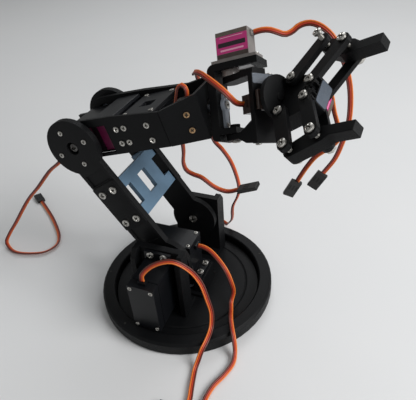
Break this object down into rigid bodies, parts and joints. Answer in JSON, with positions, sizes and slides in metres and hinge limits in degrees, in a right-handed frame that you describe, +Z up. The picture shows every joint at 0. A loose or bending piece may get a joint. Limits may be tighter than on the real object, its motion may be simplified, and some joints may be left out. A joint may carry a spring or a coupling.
{
  "type": "desktop servo robot arm",
  "caption": "Small printed robot arm on a round base, with hobby servos at each joint, a rolling wrist and a linked two-finger gripper.",
  "frame": {"origin": "on the base yaw axis, in the plane the base stands on", "axes": "+Z up along the base yaw axis, +X towards where the arm reaches at rest, +Y to the far side of the arm"},
  "size_m": [0.3243, 0.2654, 0.202],
  "materials": {
    "printed_black": "fused-filament print with fine layer lines",
    "servo_black": "moulded, satin",
    "servo_clear": "smoky clear moulding",
    "horn_nylon": "moulded nylon",
    "screw_steel": "plated steel",
    "lead_wire": "three-wire ribbon, brown, red and orange",
    "connector_black": "moulded"
  },
  "bodies": {
    "base": {"base_ring": "printed_black", "yaw_horn": "horn_nylon"},
    "waist": {"turntable": "printed_black", "yaw_servo_mount": "printed_black", "yaw_servo": "servo_black", "shoulder_bracket_near": "printed_black", "shoulder_bracket_far": "printed_black", "shoulder_servo": "servo_black", "shoulder_idler_bolt": "screw_steel", "shoulder_servo_lead": "lead_wire", "shoulder_servo_connector": "connector_black", "yaw_servo_lead": "lead_wire", "yaw_servo_connector": "connector_black"},
    "upper_arm": {"upper_arm_near_plate": "printed_black", "upper_arm_far_plate": "printed_black", "upper_arm_crosspiece": "printed_black", "shoulder_horn": "horn_nylon", "elbow_horn": "horn_nylon"},
    "forearm": {"forearm_near_plate": "printed_black", "forearm_far_plate": "printed_black", "forearm_rear_deck": "printed_black", "forearm_front_deck": "printed_black", "forearm_nose": "printed_black", "elbow_servo": "servo_black", "wrist_roll_servo": "servo_clear", "elbow_idler_bolt": "screw_steel", "elbow_servo_lead": "lead_wire", "elbow_servo_connector": "connector_black", "wrist_roll_servo_lead": "lead_wire", "wrist_roll_servo_connector": "connector_black"},
    "wrist_roll": {"wrist_frame": "printed_black", "wrist_roll_horn": "horn_nylon", "wrist_yaw_servo": "servo_clear", "wrist_yaw_servo_lead": "lead_wire", "wrist_yaw_servo_connector": "connector_black"},
    "wrist_yaw": {"wrist_yoke": "printed_black", "gripper_roll_servo": "servo_clear", "gripper_roll_servo_lead": "lead_wire", "gripper_roll_servo_connector": "connector_black"},
    "gripper": {"gripper_roll_disc": "printed_black", "gripper_body": "printed_black", "gripper_servo": "servo_clear", "outer_bolt_upper": "screw_steel", "outer_bolt_lower": "screw_steel", "inner_bolt_upper": "screw_steel", "inner_bolt_lower": "screw_steel", "gripper_servo_lead": "lead_wire", "gripper_servo_connector": "connector_black"},
    "inner_link_upper": {"inner_link_upper_near": "printed_black", "inner_link_upper_far": "printed_black"},
    "inner_link_lower": {"inner_link_lower_near": "printed_black", "inner_link_lower_far": "printed_black"},
    "outer_link_upper": {"outer_link_upper": "printed_black"},
    "outer_link_lower": {"outer_link_lower": "printed_black"},
    "finger_upper": {"finger_upper": "printed_black", "finger_root_bolt_upper": "screw_steel", "finger_bolt_upper": "screw_steel"},
    "finger_lower": {"finger_lower": "printed_black", "finger_root_bolt_lower": "screw_steel", "finger_bolt_lower": "screw_steel"}
  },
  "joints": [
    {"name": "base_yaw", "type": "hinge", "parent": "base", "child": "waist", "pos_m": [0, 0, 0.005], "axis": [0, 0, 1], "range_deg": [-90, 90]},
    {"name": "shoulder", "type": "hinge", "parent": "waist", "child": "upper_arm", "pos_m": [-0.005, 0, 0.0426], "axis": [0, 1, 0], "range_deg": [-15, 60]},
    {"name": "elbow", "type": "hinge", "parent": "upper_arm", "child": "forearm", "pos_m": [-0.06263, 0, 0.12676], "axis": [0, 1, 0], "range_deg": [-80, 25], "deforming": ["elbow_servo_lead"]},
    {"name": "wrist_roll", "type": "hinge", "parent": "forearm", "child": "wrist_roll", "pos_m": [0.03991, 0.009, 0.15733], "axis": [0.9583, 0, 0.2857], "range_deg": [-60, 90], "deforming": ["wrist_yaw_servo_lead"]},
    {"name": "wrist_yaw", "type": "hinge", "parent": "wrist_roll", "child": "wrist_yaw", "pos_m": [0.03991, 0.009, 0.15733], "axis": [-0.2449, 0.515, 0.8214], "range_deg": [-45, 60], "deforming": ["gripper_roll_servo_lead"]},
    {"name": "gripper_roll", "type": "hinge", "parent": "wrist_yaw", "child": "gripper", "pos_m": [0.053, 0.00768, 0.15889], "axis": [0.8202, -0.3418, 0.4588], "range_deg": [-60, 90], "deforming": ["gripper_servo_lead"]},
    {"name": "grip", "type": "hinge", "parent": "gripper", "child": "outer_link_upper", "pos_m": [0.07415, 0.00907, 0.17574], "axis": [0.5656, 0.3637, -0.7402], "range_deg": [-8, 54]},
    {"name": "inner_link_upper_turn", "type": "hinge", "parent": "gripper", "child": "inner_link_upper", "pos_m": [0.0856, -0.00121, 0.17943], "axis": [0.5656, 0.3637, -0.7402], "range_deg": [-8, 54]},
    {"name": "finger_upper_turn", "type": "hinge", "parent": "outer_link_upper", "child": "finger_upper", "pos_m": [0.08626, 0.02423, 0.19244], "axis": [0.5656, 0.3637, -0.7402], "range_deg": [-54, 8]},
    {"name": "inner_link_lower_turn", "type": "hinge", "parent": "gripper", "child": "inner_link_lower", "pos_m": [0.0847, -0.01022, 0.17432], "axis": [0.5656, 0.3637, -0.7402], "range_deg": [-54, 8]},
    {"name": "outer_link_lower_turn", "type": "hinge", "parent": "gripper", "child": "outer_link_lower", "pos_m": [0.0722, -0.01052, 0.16462], "axis": [0.5656, 0.3637, -0.7402], "range_deg": [-54, 8]},
    {"name": "finger_lower_turn", "type": "hinge", "parent": "outer_link_lower", "child": "finger_lower", "pos_m": [0.08045, -0.03416, 0.15931], "axis": [0.5656, 0.3637, -0.7402], "range_deg": [-8, 54]}
  ],
  "couplings": [
    {"joint": "inner_link_upper_turn", "follows": "grip", "ratio": 1},
    {"joint": "finger_upper_turn", "follows": "grip", "ratio": -1},
    {"joint": "inner_link_lower_turn", "follows": "grip", "ratio": -1},
    {"joint": "outer_link_lower_turn", "follows": "grip", "ratio": -1},
    {"joint": "finger_lower_turn", "follows": "grip", "ratio": 1}
  ]
}
